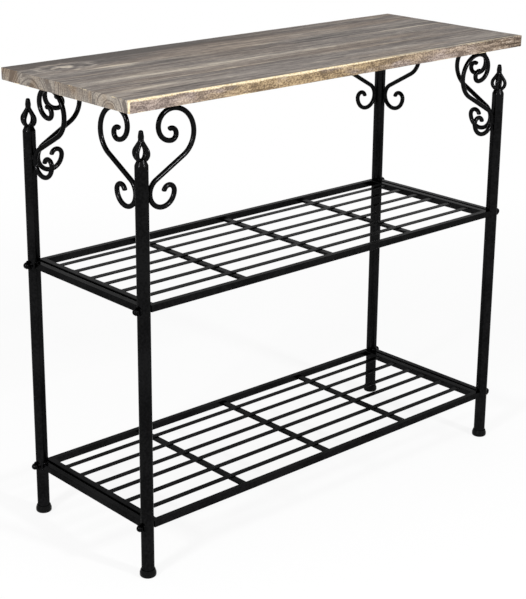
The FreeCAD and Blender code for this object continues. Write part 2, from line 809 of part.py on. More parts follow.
failed = [item.Label for item in doc.Objects if "Invalid" in item.State or "Error" in item.State]
failed += [node.Label for node in nodes if node.Shape.isNull() or not node.Shape.isValid()]
if failed:
    raise RuntimeError(f"these objects failed: {failed}")

os.makedirs("parts", exist_ok=True)
for node in nodes:
    node.Shape.exportStep(os.path.join("parts", f"{node.Label}.step"))
    print(node.Label, len(node.Shape.Solids), "solids", round(node.Shape.Volume), "mm3")
print(len(nodes), "nodes written")
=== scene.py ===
# %% [markdown]
# # A bakers rack
# The rack is a weathered pine top on a black steel frame: four tube posts, eight bent scrolls that
# carry the top, and two shelves of flat strips. The steel was cut, bent, welded and powder coated,
# and the pine was brushed and rubbed with a grey stain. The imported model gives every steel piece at
# its real size, so this lesson keeps those pieces where they are and gives them their finish. It
# builds new only what a smooth solid can't show: the brushed planks, the rolled strips of the
# shelves, the weld seams and the screw heads.

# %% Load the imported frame
import json
import math

import bpy
import numpy as np
from mathutils import Matrix, Vector


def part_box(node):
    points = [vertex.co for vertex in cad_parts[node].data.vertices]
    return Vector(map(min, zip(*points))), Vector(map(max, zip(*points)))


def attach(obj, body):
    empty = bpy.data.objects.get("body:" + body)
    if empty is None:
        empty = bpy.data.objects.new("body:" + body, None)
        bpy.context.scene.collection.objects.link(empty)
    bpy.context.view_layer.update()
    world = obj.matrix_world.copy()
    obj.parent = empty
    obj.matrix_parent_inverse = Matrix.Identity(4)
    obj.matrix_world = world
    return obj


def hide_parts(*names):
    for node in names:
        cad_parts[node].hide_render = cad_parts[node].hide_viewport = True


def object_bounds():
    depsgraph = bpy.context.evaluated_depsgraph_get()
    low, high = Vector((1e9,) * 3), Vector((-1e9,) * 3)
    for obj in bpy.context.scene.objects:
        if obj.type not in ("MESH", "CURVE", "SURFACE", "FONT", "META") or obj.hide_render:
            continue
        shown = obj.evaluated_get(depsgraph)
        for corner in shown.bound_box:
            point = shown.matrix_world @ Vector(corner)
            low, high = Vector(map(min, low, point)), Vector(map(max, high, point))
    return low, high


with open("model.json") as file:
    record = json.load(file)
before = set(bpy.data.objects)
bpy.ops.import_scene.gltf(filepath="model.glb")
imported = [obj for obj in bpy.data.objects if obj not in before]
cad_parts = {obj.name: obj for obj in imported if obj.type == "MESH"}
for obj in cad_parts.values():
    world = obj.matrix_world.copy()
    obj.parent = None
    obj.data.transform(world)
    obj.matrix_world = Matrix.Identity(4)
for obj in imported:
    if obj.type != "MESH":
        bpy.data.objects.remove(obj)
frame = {"nodes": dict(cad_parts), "record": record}
nodes = frame["nodes"]
cad_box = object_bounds()
MM = 0.001
scene = bpy.context.scene
scene.view_settings.view_transform = "Standard"
print(len(nodes), "pieces loaded,", [round(x, 4) for x in cad_box[1] - cad_box[0]], "metres over all")

# %% [markdown]
# ## Camera
# The picture was taken from the front left, a little above the top, with a long lens, and it was
# framed with the rack low under the lens axis. A camera that is turned down for that would lean the
# posts, so part of it is done with a lens shift, as on a view camera. The place, the turn and the
# focal length follow from the corners of the top and the feet of the posts.

# %% Set up the camera
IMAGE_HEIGHT_PX = 599
FOCAL_LENGTH_PX = 1493.8
SENSOR_MM = 36.0
LENS_SHIFT = -0.09
CAMERA_PLACE = Vector((-1.5365, -1.6623, 1.1059))
CAMERA_YAW = math.radians(-42.21)
CAMERA_PITCH = math.radians(17.49)
CAMERA_ROLL = math.radians(0.50)

camera = bpy.data.objects.new("camera", bpy.data.cameras.new("camera"))
scene.collection.objects.link(camera)
scene.camera = camera
camera.data.sensor_width = SENSOR_MM
camera.data.lens = FOCAL_LENGTH_PX / IMAGE_HEIGHT_PX * SENSOR_MM
camera.data.shift_y = LENS_SHIFT
turn = Matrix.Rotation(CAMERA_YAW, 4, "Z") @ Matrix.Rotation(math.pi / 2 - CAMERA_PITCH, 4, "X")
camera.matrix_world = Matrix.Translation(CAMERA_PLACE) @ turn @ Matrix.Rotation(CAMERA_ROLL, 4, "Z")
print("lens", round(camera.data.lens, 1), "mm")

# %% [markdown]
# ## Node trees in short lines
# Every finish and every repeated piece below is a tree of nodes. A few helpers keep those trees
# short enough to read: one adds a node and fills its inputs with values or with links, and the
# others add a sum, a vector, a soft step, a noise or a mix of colours and give back its result.

# %% Helpers for node trees
def add_node(tree, kind, inputs=None, **options):
    """Add a node. Options are its own settings, and inputs are sockets to link or plain values."""
    node = tree.nodes.new(kind)
    for option, value in options.items():
        setattr(node, option, value)
    for name, value in (inputs or {}).items():
        if isinstance(value, bpy.types.NodeSocket):
            tree.links.new(value, node.inputs[name])
        else:
            node.inputs[name].default_value = value
    return node


def maths(tree, operation, *values):
    return add_node(tree, "ShaderNodeMath", dict(enumerate(values)), operation=operation).outputs[0]


def vectors(tree, operation, *values, **named):
    inputs = {**dict(enumerate(values)), **named}
    return add_node(tree, "ShaderNodeVectorMath", inputs, operation=operation).outputs[0]


def length_of(tree, vector):
    return add_node(tree, "ShaderNodeVectorMath", {0: vector}, operation="LENGTH").outputs["Value"]


def vector_of(tree, x=0.0, y=0.0, z=0.0):
    return add_node(tree, "ShaderNodeCombineXYZ", {0: x, 1: y, 2: z}).outputs[0]


def parts_of(tree, vector):
    return add_node(tree, "ShaderNodeSeparateXYZ", {0: vector}).outputs


def smooth_step(tree, value, low, high, at_low=0.0, at_high=1.0):
    """Go smoothly from at_low to at_high while value goes from low to high."""
    ends = {"Value": value, "From Min": low, "From Max": high, "To Min": at_low, "To Max": at_high}
    return add_node(tree, "ShaderNodeMapRange", ends, interpolation_type="SMOOTHSTEP").outputs[0]


def noise(tree, vector, scale, detail=2.0, roughness=0.5):
    inputs = {"Vector": vector, "Scale": scale, "Detail": detail, "Roughness": roughness}
    return add_node(tree, "ShaderNodeTexNoise", inputs).outputs[0]


def grain(tree, vector, along, across, detail=3.0):
    """A noise drawn out along X: along and across are its features for each metre."""
    return noise(tree, vectors(tree, "MULTIPLY", vector, (along, across, across)), 1.0, detail, 0.6)


def mix_colours(tree, share, first, second):
    return add_node(tree, "ShaderNodeMix", {0: share, 6: first, 7: second}, data_type="RGBA").outputs[2]


def new_shader_tree(owner):
    owner.use_nodes = True
    owner.node_tree.nodes.clear()
    return owner.node_tree


# %% [markdown]
# ## White studio
# The rack stands in a white studio. The world is a plain soft light from all round. A small soft box
# in front gives the scrolls their thin highlights, and a slightly weaker one does so from the left.
# The camera and the reflections see the world and most of the floor as pure white, and the floor
# still takes a soft shadow.

# %% Floor, world and soft boxes
WORLD_LIGHT = 0.50
FLOOR_SIZE = 40.0
FLOOR_COLOUR = (0.93, 0.93, 0.93, 1)
FLOOR_WHITE_SHARE = 0.86
SHADOW_END, WHITE_START = 0.6, 2.0
WHITE = (1, 1, 1, 1)


def seen_directly(tree):
    """1 where the camera, a reflection or clear glass looks, and 0 for light that falls on things."""
    path = add_node(tree, "ShaderNodeLightPath")
    seen = maths(tree, "MAXIMUM", path.outputs["Is Camera Ray"], path.outputs["Is Glossy Ray"])
    return maths(tree, "MAXIMUM", seen, path.outputs["Is Transmission Ray"])


def make_world():
    world = bpy.data.worlds.new("white_studio")
    tree = new_shader_tree(world)
    strength = smooth_step(tree, seen_directly(tree), 0.0, 1.0, WORLD_LIGHT, 1.0)
    sky = add_node(tree, "ShaderNodeBackground", {"Color": WHITE, "Strength": strength})
    add_node(tree, "ShaderNodeOutputWorld", {"Surface": sky.outputs[0]})
    return world


def make_floor():
    half = FLOOR_SIZE / 2
    corners = [(-half, -half, 0), (half, -half, 0), (half, half, 0), (-half, half, 0)]
    mesh = bpy.data.meshes.new("studio_floor")
    mesh.from_pydata(corners, [], [(0, 1, 2, 3)])
    floor = bpy.data.objects.new("studio_floor", mesh)
    scene.collection.objects.link(floor)
    material = bpy.data.materials.new("white_floor")
    tree = new_shader_tree(material)
    paint = add_node(tree, "ShaderNodeBsdfDiffuse", {"Color": FLOOR_COLOUR})
    glow = add_node(tree, "ShaderNodeEmission", {"Color": WHITE, "Strength": 1.0})
    far = length_of(tree, add_node(tree, "ShaderNodeTexCoord").outputs["Object"])
    white_share = smooth_step(tree, far, SHADOW_END, WHITE_START, FLOOR_WHITE_SHARE, 1.0)
    share = maths(tree, "MULTIPLY", seen_directly(tree), white_share)
    mix = add_node(tree, "ShaderNodeMixShader", {0: share, 1: paint.outputs[0], 2: glow.outputs[0]})
    add_node(tree, "ShaderNodeOutputMaterial", {"Surface": mix.outputs[0]})
    mesh.materials.append(material)


def make_soft_box(name, place, aim, size, watts):
    lamp = bpy.data.lights.new(name, "AREA")
    lamp.size = size
    lamp.energy = watts
    box = bpy.data.objects.new(name, lamp)
    box.location = place
    box.rotation_euler = (Vector(aim) - Vector(place)).to_track_quat("-Z", "Y").to_euler()
    scene.collection.objects.link(box)


scene.world = make_world()
make_floor()
RACK_MIDDLE = (cad_box[0] + cad_box[1]) / 2
make_soft_box("front_soft_box", place=(0.45, -3.0, 1.9), aim=RACK_MIDDLE, size=0.3, watts=70)
make_soft_box("left_soft_box", place=(-2.9, -0.7, 1.7), aim=RACK_MIDDLE, size=0.4, watts=60)
print("studio ready, world light", WORLD_LIGHT)

# %% [markdown]
# ## Black powder coat
# The steel is dipped in phosphate, dusted with black powder and baked, so the coat is satin with a
# faint orange peel. Three noises make it: a fine one bumps the surface, and a coarser grit and a wide
# drift together change the shade and the roughness, because a baked coat is never quite even. The
# black coats are set up as a very dark metal whose edges are toned down, because a plain black paint
# would reflect the white studio from every flat strip, and a real textured coat stays black there.

# %% A coat with grit and orange peel
DRIFT_SCALE = 14.0
GRIT_TO_PEEL = 0.4


def coated_metal(name, low_colour, high_colour, smoothest, roughest, peel_size, peel_height, **constants):
    """A coat between two shades and two roughnesses, with bumps of a size and a height."""
    material = bpy.data.materials.new(name)
    tree = new_shader_tree(material)
    position = add_node(tree, "ShaderNodeTexCoord").outputs["Object"]
    drift = noise(tree, position, DRIFT_SCALE, 3.0)
    grit = noise(tree, position, GRIT_TO_PEEL / peel_size, 2.0)
    uneven = maths(tree, "MULTIPLY_ADD", grit, 0.5, maths(tree, "MULTIPLY", drift, 0.5))
    colour = mix_colours(tree, smooth_step(tree, uneven, 0.36, 0.64), low_colour, high_colour)
    roughness = smooth_step(tree, uneven, 0.3, 0.7, smoothest, roughest)
    peel = noise(tree, position, 1.0 / peel_size, 1.5)
    bump = add_node(tree, "ShaderNodeBump", {"Height": peel, "Strength": 1.0, "Distance": peel_height})
    surface = {"Base Color": colour, "Roughness": roughness, "Normal": bump.outputs[0]}
    shader = add_node(tree, "ShaderNodeBsdfPrincipled", {**surface, **constants})
    add_node(tree, "ShaderNodeOutputMaterial", {"Surface": shader.outputs[0]})
    return material


# %% Finish the steel and the feet
EDGE_TONE = {"Metallic": 1.0, "Specular Tint": (0.54, 0.54, 0.54, 1)}
MATT_TONE = {"Specular IOR Level": 0.05}
powder_coat = coated_metal(
    "satin_black_powder_coat", (0.0055, 0.0055, 0.0057, 1), (0.0115, 0.0115, 0.0119, 1),
    smoothest=0.17, roughest=0.25, peel_size=1.3 * MM, peel_height=0.012 * MM, **EDGE_TONE)
black_oxide = coated_metal(
    "black_oxide_steel", (0.004, 0.004, 0.0042, 1), (0.008, 0.008, 0.0083, 1),
    smoothest=0.22, roughest=0.32, peel_size=0.8 * MM, peel_height=0.015 * MM, **EDGE_TONE)
foot_rubber = coated_metal(
    "black_foot_rubber", (0.002, 0.002, 0.002, 1), (0.005, 0.005, 0.005, 1),
    smoothest=0.22, roughest=0.36, peel_size=0.9 * MM, peel_height=0.03 * MM, **MATT_TONE)
zinc_plate = coated_metal(
    "zinc_plated_steel", (0.42, 0.42, 0.41, 1), (0.6, 0.6, 0.58, 1),
    smoothest=0.25, roughest=0.45, peel_size=0.9 * MM, peel_height=0.01 * MM, **{"Metallic": 1.0})
STEEL_FINISHES = {"black_frame": powder_coat, "foot_cap": foot_rubber,
                  "black_fixing": black_oxide, "plated_fixing": zinc_plate}

for row in frame["record"]["subparts"]:
    finish = STEEL_FINISHES.get(row["material_slot"])
    if finish:
        mesh = nodes[row["node"]].data
        mesh.materials.clear()
        mesh.materials.append(finish)
print("finished", len(STEEL_FINISHES), "kinds of steel and rubber surface")

# %% [markdown]
# ## How pine grows
# A plank is cut out of a trunk, and the trunk's year rings are tubes round its pith. So the grain on
# every face follows from one rule: how far a point lies from the pith. The pith wanders a little
# along the plank, which draws the long arches on the top, and a knot pushes the rings aside. The
# same rule is used twice, once to press the brushed relief into the mesh and once to colour it, so
# that colour and relief always agree. On the ends it draws the arcs of the rings by itself.

# %% The rule of the year rings
# Shares of the pith's drift and of a ring's width
SIDE_DRIFT = 0.4
GOOD_YEARS = 1.2
WOBBLE = 1.3
# How fast good and bad years change from the pith outwards, and a second place in the same noise
YEAR_SCALE = 70.0
OTHER_SEED = 9.0


def wandering(tree, place, offset, amount, scale=2.6):
    """A slow drift along a line, in metres either way."""
    inputs = {"W": maths(tree, "ADD", place, offset), "Scale": scale, "Detail": 1.0}
    value = add_node(tree, "ShaderNodeTexNoise", inputs, noise_dimensions="1D").outputs[0]
    return maths(tree, "MULTIPLY", maths(tree, "SUBTRACT", value, 0.5), 2 * amount)


def distance_in_patch(tree, x, y, patch):
    """0 in the middle of an oval patch on the top, and 1 at its edge."""
    patch_x, patch_y, half_length, half_width = patch
    along = maths(tree, "DIVIDE", maths(tree, "SUBTRACT", x, patch_x), half_length)
    across = maths(tree, "DIVIDE", maths(tree, "SUBTRACT", y, patch_y), half_width)
    return length_of(tree, vector_of(tree, along, across))


def fading_from(tree, distance):
    """1 in the middle of a patch, fading to nothing past its edge."""
    return maths(tree, "EXPONENT", maths(tree, "MULTIPLY", maths(tree, "POWER", distance, 2.0), -1.0))


def year_rings(tree, position, plank):
    """0 just inside each year ring, rising to 1 at its dark late wood."""
    x, y, z = parts_of(tree, position)
    across = maths(tree, "SUBTRACT", y, plank["pith_y"])
    across = maths(tree, "SUBTRACT", across, wandering(tree, x, plank["seed"], SIDE_DRIFT * plank["drift"]))
    above = maths(tree, "SUBTRACT", z, plank["pith_z"])
    above = maths(tree, "SUBTRACT", above, wandering(tree, x, plank["seed"] + OTHER_SEED, plank["drift"]))
    radius = length_of(tree, vector_of(tree, 0.0, across, above))
    good_years = wandering(tree, radius, plank["seed"], GOOD_YEARS * plank["ring_width"], YEAR_SCALE)
    radius = maths(tree, "ADD", radius, good_years)
    wobble = grain(tree, position, 5.0, 38.0, 3.0)
    radius = maths(tree, "MULTIPLY_ADD", wobble, WOBBLE * plank["ring_width"], radius)
    for knot in plank["knots"]:
        push = fading_from(tree, distance_in_patch(tree, x, y, knot))
        radius = maths(tree, "MULTIPLY_ADD", push, KNOT_PUSH, radius)
    return maths(tree, "FRACT", maths(tree, "DIVIDE", radius, plank["ring_width"]))


# %% Where each plank was cut from its trunk
top_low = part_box("top_board_front")[0]
top_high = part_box("top_board_rear")[1]
BELOW = top_low.z
KNOT = (-0.328, 0.094, 0.046, 0.019)
KNOT_PUSH = 11 * MM
# The place and drift of the pith, the width of the rings and how deep they show on the ends
PLANK_FACTS = {
    "front": {"pith_y": -0.109, "pith_z": BELOW - 4 * MM, "ring_width": 9.4 * MM, "drift": 5 * MM,
              "seed": 3.0, "ring_depth": 1.0, "knots": ()},
    "middle": {"pith_y": 0.215, "pith_z": BELOW + 6 * MM, "ring_width": 4.4 * MM, "drift": 7 * MM,
               "seed": 17.0, "ring_depth": 0.45, "knots": ()},
    "rear": {"pith_y": 0.078, "pith_z": BELOW - 16 * MM, "ring_width": 9.2 * MM, "drift": 9 * MM,
             "seed": 31.0, "ring_depth": 0.9, "knots": (KNOT,)},
}
for name, plank in PLANK_FACTS.items():
    print(name, "plank, rings of", round(plank["ring_width"] / MM, 1), "mm")

# %% [markdown]
# ## Stained top
# The stain is a grey-brown wash that was rubbed off again. It stays dark where the rag passed once,
# and it is pale where the wood was hard or the rag went back and forth. All of that is one number,
# the tone: wide bands, short streaks, fine fibres and flecks are added up, late wood and the glue
# joints take a little away, and rubbed marks, dark patches and the torn grain round a knot are put
# where they lie on this top. A ramp of greys and one of browns turn the tone into colours, and a slow
# noise mixes the two, so that every layer stays in the same family of colours.

# %% Stains and marks on the top
GREYS = ((0.08, (0.076, 0.066, 0.060, 1)), (0.34, (0.155, 0.136, 0.124, 1)),
         (0.52, (0.236, 0.209, 0.190, 1)), (0.72, (0.342, 0.305, 0.268, 1)),
         (1.0, (0.560, 0.495, 0.410, 1)))
BROWNS = ((0.08, (0.081, 0.063, 0.052, 1)), (0.34, (0.166, 0.134, 0.112, 1)),
          (0.52, (0.251, 0.207, 0.173, 1)), (0.72, (0.360, 0.305, 0.250, 1)),
          (1.0, (0.575, 0.494, 0.390, 1)))
TOP_TONE = 0.52
# Features of each layer for each metre along and across the grain, and how much it adds
TOP_LAYERS = {"bands": (1.6, 22.0, 0.8), "streaks": (9.0, 115.0, 0.75),
              "fibres": (22.0, 560.0, 0.85), "flecks": (60.0, 300.0, 0.75)}
LATE_WOOD_TONE = -0.36
JOINT_TONE = -0.35
KNOT_RINGS = 7.0
# Each mark is an oval on the top, its middle and its half sizes, with a strength
RUBBED_MARKS = (((-0.266, 0.055, 0.030, 0.006), 1.05), ((-0.290, -0.026, 0.060, 0.006), 0.40),
                ((-0.130, -0.024, 0.110, 0.007), 0.34), ((0.080, -0.026, 0.130, 0.006), 0.28),
                ((-0.103, -0.062, 0.110, 0.004), 0.22), ((0.060, 0.058, 0.110, 0.006), 0.30),
                ((-0.327, -0.096, 0.050, 0.005), 0.34), ((0.260, 0.020, 0.120, 0.007), 0.20),
                ((0.150, -0.100, 0.130, 0.006), 0.18))
DARK_PATCHES = (((-0.300, 0.142, 0.230, 0.024), -0.50), ((-0.235, 0.090, 0.080, 0.018), -0.26),
                ((0.020, 0.122, 0.200, 0.022), -0.18), ((-0.330, 0.000, 0.070, 0.012), -0.16))
MARK_MARGIN = 30 * MM
print(len(TOP_LAYERS), "layers of grain,", len(RUBBED_MARKS + DARK_PATCHES), "marks")


# %% The tone and colour of the top
def colour_ramp(tree, tone, stops):
    ramp = add_node(tree, "ShaderNodeValToRGB", {"Fac": tone})
    elements = ramp.color_ramp.elements
    elements[0].position, elements[0].color = stops[0]
    elements[1].position, elements[1].color = stops[-1]
    for place, colour in stops[1:-1]:
        elements.new(place).color = colour
    return ramp.outputs["Color"]


def add_share(tree, tone, value, share):
    """Add a noise to the tone, so that its middle changes nothing."""
    return maths(tree, "MULTIPLY_ADD", maths(tree, "SUBTRACT", value, 0.5), share, tone)


def knot_tone(tree, shifted, x, y, knot):
    """Pale rings round a darker eye, and flecks of torn grain about them."""
    from_knot = distance_in_patch(tree, x, y, knot)
    distance = add_share(tree, from_knot, noise(tree, shifted, 38.0, 3.0), 1.5)
    rings = maths(tree, "SINE", maths(tree, "MULTIPLY", distance, KNOT_RINGS))
    tone = maths(tree, "MULTIPLY", fading_from(tree, distance), 0.9)
    tone = maths(tree, "MULTIPLY", tone, maths(tree, "MULTIPLY_ADD", rings, 0.7, 0.45))
    torn = fading_from(tree, maths(tree, "MULTIPLY", from_knot, 0.5))
    flecks = maths(tree, "SUBTRACT", grain(tree, shifted, 75.0, 190.0), 0.5)
    return maths(tree, "MULTIPLY_ADD", maths(tree, "MULTIPLY", torn, flecks), 0.8, tone)


def top_tone(tree, shifted, x, y, late, name, plank):
    layers = {}
    tone = TOP_TONE
    for layer, (along, across, share) in TOP_LAYERS.items():
        layers[layer] = grain(tree, shifted, along, across)
        tone = add_share(tree, tone, layers[layer], share)
    tone = add_share(tree, tone, noise(tree, shifted, 700.0, 2.0), 0.30)
    tone = maths(tree, "MULTIPLY_ADD", late, LATE_WOOD_TONE, tone)
    low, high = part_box(f"top_board_{name}")
    for joint_y in (low.y, high.y):
        from_joint = maths(tree, "ABSOLUTE", maths(tree, "SUBTRACT", y, joint_y))
        tone = maths(tree, "ADD", tone, smooth_step(tree, from_joint, 0.2 * MM, 1.2 * MM, JOINT_TONE, 0.0))
    broken = maths(tree, "MULTIPLY_ADD", layers["streaks"], 3.2, -0.6)
    for patch, strength in RUBBED_MARKS + DARK_PATCHES:
        if low.y - MARK_MARGIN < patch[1] < high.y + MARK_MARGIN:
            mark = fading_from(tree, distance_in_patch(tree, x, y, patch))
            tone = maths(tree, "MULTIPLY_ADD", maths(tree, "MULTIPLY", mark, broken), strength, tone)
    for knot in plank["knots"]:
        tone = maths(tree, "ADD", tone, knot_tone(tree, shifted, x, y, knot))
    return tone


def top_colour(tree, shifted, tone):
    """Grey where the stain lies thick, browner where the wood shows through."""
    brown_share = smooth_step(tree, grain(tree, shifted, 3.0, 26.0), 0.4, 0.66)
    grey, brown = colour_ramp(tree, tone, GREYS), colour_ramp(tree, tone, BROWNS)
    return mix_colours(tree, brown_share, grey, brown)


# %% [markdown]
# ## Front, rear and ends
# The long edges were left from the saw and only rubbed over, so they are blotched tan and mauve with
# short dark specks. Their right-hand end is older and browner. On the ends the rings show as arcs,
# pale in the early wood and dark in the late wood, and the grey stain has soaked in towards the rear.
# Each of these faces is its own short function that gives a colour.

# %% The colours of the front, the rear and the ends
SAWN_TAN = ((0.15, (0.122, 0.084, 0.048, 1)), (0.5, (0.338, 0.244, 0.138, 1)),
            (0.9, (0.550, 0.425, 0.262, 1)))
SAWN_MAUVE = ((0.15, (0.130, 0.100, 0.086, 1)), (0.5, (0.315, 0.250, 0.218, 1)),
              (0.9, (0.520, 0.435, 0.375, 1)))
OLD_BROWN = ((0.2, (0.050, 0.034, 0.022, 1)), (0.5, (0.200, 0.146, 0.100, 1)),
             (0.8, (0.460, 0.420, 0.370, 1)))
END_BROWN = ((0.1, (0.112, 0.082, 0.060, 1)), (0.5, (0.300, 0.240, 0.182, 1)),
             (0.9, (0.540, 0.462, 0.355, 1)))
END_PALE = ((0.1, (0.130, 0.112, 0.098, 1)), (0.5, (0.330, 0.292, 0.248, 1)),
            (0.9, (0.560, 0.505, 0.425, 1)))
SAWN_TONE = 0.35
END_TONE_FRONT, END_TONE_REAR = 0.42, 0.28
# Places along X between which the tan starts, the tan thins out and the old brown starts
TAN_START, TAN_THINS, OLD_START = (-0.38, -0.16), (0.0, 0.26), (0.18, 0.385)


def sawn_colour(tree, shifted, x, speckle):
    strands = grain(tree, shifted, 14.0, 260.0)
    blotches = grain(tree, shifted, 45.0, 130.0, 3.0)
    tone = add_share(tree, SAWN_TONE, speckle, 1.8)
    tone = add_share(tree, tone, strands, 0.8)
    tone = add_share(tree, tone, blotches, 1.3)
    tan_share = smooth_step(tree, grain(tree, shifted, 13.0, 55.0, 3.0), 0.34, 0.55)
    tan_share = maths(tree, "MULTIPLY", tan_share, smooth_step(tree, x, *TAN_START, 0.15, 1.0))
    tan_share = maths(tree, "MULTIPLY", tan_share, smooth_step(tree, x, *TAN_THINS, 1.0, 0.35))
    mauve, tan = colour_ramp(tree, tone, SAWN_MAUVE), colour_ramp(tree, tone, SAWN_TAN)
    colour = mix_colours(tree, tan_share, mauve, tan)
    near_right_end = smooth_step(tree, x, *OLD_START)
    old_share = maths(tree, "MULTIPLY", near_right_end, smooth_step(tree, strands, 0.38, 0.6, 1.0, 0.35))
    old_wood = colour_ramp(tree, add_share(tree, tone, strands, 1.2), OLD_BROWN)
    return mix_colours(tree, old_share, colour, old_wood)


def end_colour(tree, shifted, y, late, speckle, ring_depth):
    tone = smooth_step(tree, y, -0.14, 0.06, END_TONE_FRONT, END_TONE_REAR)
    blotches = noise(tree, shifted, 38.0, 3.0)
    tone = add_share(tree, tone, blotches, 0.8)
    ring_share = smooth_step(tree, blotches, 0.36, 0.6, 0.25 * ring_depth, 0.75 * ring_depth)
    tone = maths(tree, "SUBTRACT", tone, maths(tree, "MULTIPLY", late, ring_share))
    tone = add_share(tree, tone, speckle, 1.2)
    brown_share = smooth_step(tree, noise(tree, shifted, 24.0, 2.0), 0.42, 0.62)
    pale, brown = colour_ramp(tree, tone, END_PALE), colour_ramp(tree, tone, END_BROWN)
    return mix_colours(tree, brown_share, pale, brown)


# %% [markdown]
# ## Rubbed edges
# Sanding goes through the stain first on the arrises. The long front edge is rubbed down to bare
# cream pine, most on its left half, and towards the right the sander ran a little way in on the top
# and left a thin ochre line. A mask for each edge is the distance to that edge with an uneven limit.

# %% The rubbed edges
BARE_CREAM = (0.80, 0.69, 0.48, 1)
BARE_OCHRE = (0.56, 0.415, 0.225, 1)
# Least and most that the rubbing is wide, on the front edge and on the others
WIDE_RUB, NARROW_RUB = (2.0 * MM, 5.0 * MM), (0.1 * MM, 2.6 * MM)
LINE_INSET = 5.5 * MM


def near_edge(tree, first, second, width):
    """1 on the edge where two distances are both nothing, fading out over a width."""
    start = maths(tree, "MULTIPLY", width, 0.45)
    return smooth_step(tree, length_of(tree, vector_of(tree, first, second)), start, width, 1.0, 0.0)


def rubbed_share(tree, shifted, x, from_front, from_end, from_top, from_bottom):
    rubbing = grain(tree, shifted, 18.0, 60.0, 4.0)
    more_left = smooth_step(tree, x, -0.05, 0.16, 1.0, 0.2)
    wide = maths(tree, "MULTIPLY", smooth_step(tree, rubbing, 0.3, 0.7, *WIDE_RUB), more_left)
    narrow = smooth_step(tree, rubbing, 0.48, 0.8, *NARROW_RUB)
    rubbed = near_edge(tree, from_front, from_top, wide)
    for first, second, width in ((from_front, from_end, wide), (from_front, from_bottom, narrow),
                                 (from_end, from_top, narrow), (from_end, from_bottom, narrow)):
        rubbed = maths(tree, "MAXIMUM", rubbed, near_edge(tree, first, second, width))
    from_line = maths(tree, "ABSOLUTE", maths(tree, "SUBTRACT", from_front, LINE_INSET))
    line = maths(tree, "MULTIPLY", smooth_step(tree, from_line, 0.5 * MM, 2.0 * MM, 0.9, 0.0),
                 smooth_step(tree, x, 0.0, 0.14))
    line = maths(tree, "MULTIPLY", line, smooth_step(tree, rubbing, 0.28, 0.48))
    return maths(tree, "MAXIMUM", rubbed, line)


# %% The finished pine
FACE_DEPTH, FACE_END = 0.5 * MM, 1.3 * MM
BRUSH_BUMP = 0.3 * MM


def make_pine(name, plank):
    material = bpy.data.materials.new(f"weathered_pine_{name}")
    tree = new_shader_tree(material)
    position = add_node(tree, "ShaderNodeTexCoord").outputs["Object"]
    shifted = vectors(tree, "ADD", position, (plank["seed"], 0, 0))
    x, y, z = parts_of(tree, position)
    ring = year_rings(tree, position, plank)
    late = smooth_step(tree, ring, 0.45, 0.92)
    late = maths(tree, "MULTIPLY", late, smooth_step(tree, ring, 0.92, 1.0, 1.0, 0.0))
    speckle = noise(tree, vectors(tree, "MULTIPLY", shifted, (1.0, 1.6, 1.6)), 300.0, 3.0, 0.6)
    tone = top_tone(tree, shifted, x, y, late, name, plank)

    from_front = maths(tree, "SUBTRACT", y, top_low.y)
    from_rear = maths(tree, "SUBTRACT", top_high.y, y)
    from_top = maths(tree, "SUBTRACT", top_high.z, z)
    from_bottom = maths(tree, "SUBTRACT", z, top_low.z)
    from_end = maths(tree, "SUBTRACT", top_high.x, maths(tree, "ABSOLUTE", x))
    from_side = maths(tree, "MINIMUM", from_front, from_rear)
    on_side = smooth_step(tree, from_side, FACE_DEPTH, FACE_END, 1.0, 0.0)
    on_end = smooth_step(tree, from_end, FACE_DEPTH, FACE_END, 1.0, 0.0)
    sawn = sawn_colour(tree, shifted, x, speckle)
    end_grain = end_colour(tree, shifted, y, late, speckle, plank["ring_depth"])
    wood = mix_colours(tree, on_side, top_colour(tree, shifted, tone), sawn)
    wood = mix_colours(tree, on_end, wood, end_grain)
    bare = mix_colours(tree, smooth_step(tree, speckle, 0.36, 0.56), BARE_OCHRE, BARE_CREAM)
    rubbed = rubbed_share(tree, shifted, x, from_front, from_end, from_top, from_bottom)
    wood = mix_colours(tree, rubbed, wood, bare)

    relief = maths(tree, "MULTIPLY_ADD", late, 0.3, tone)
    relief = maths(tree, "MULTIPLY_ADD", maths(tree, "MULTIPLY", speckle, on_side), 0.8, relief)
    bump = add_node(tree, "ShaderNodeBump", {"Height": relief, "Strength": 0.6, "Distance": BRUSH_BUMP})
    roughness = smooth_step(tree, tone, 0.3, 0.7, 0.72, 0.86)
    surface = {"Base Color": wood, "Roughness": roughness, "Normal": bump.outputs[0]}
    shader = add_node(tree, "ShaderNodeBsdfPrincipled", {**surface, "Specular IOR Level": 0.25})
    add_node(tree, "ShaderNodeOutputMaterial", {"Surface": shader.outputs[0]})
    return material


pine = {name: make_pine(name, plank) for name, plank in PLANK_FACTS.items()}
print("pine finishes:", [material.name for material in pine.values()])

# %% [markdown]
# ## Growing meshes with Geometry Nodes
# A Geometry Nodes tree is a recipe with named inputs. Here are a helper that starts a recipe, a few
# for its usual steps and one that ends it. Another runs a recipe on a piece: it sets the inputs, keeps
# the finished mesh and takes the modifier away again, so that what is left is plain geometry.

# %% Helpers for Geometry Nodes
def new_recipe(name, sizes):
    """A tree with a Geometry input and one number input for each size. Gives the tree and its inputs."""
    tree = bpy.data.node_groups.new(name, "GeometryNodeTree")
    tree.interface.new_socket("Geometry", in_out="INPUT", socket_type="NodeSocketGeometry")
    for label in sizes:
        tree.interface.new_socket(label, in_out="INPUT", socket_type="NodeSocketFloat")
    tree.interface.new_socket("Geometry", in_out="OUTPUT", socket_type="NodeSocketGeometry")
    return tree, add_node(tree, "NodeGroupInput").outputs


def ball_mesh(tree, segments, rings, radius=1.0):
    inputs = {"Segments": segments, "Rings": rings, "Radius": radius}
    return add_node(tree, "GeometryNodeMeshUVSphere", inputs).outputs[0]


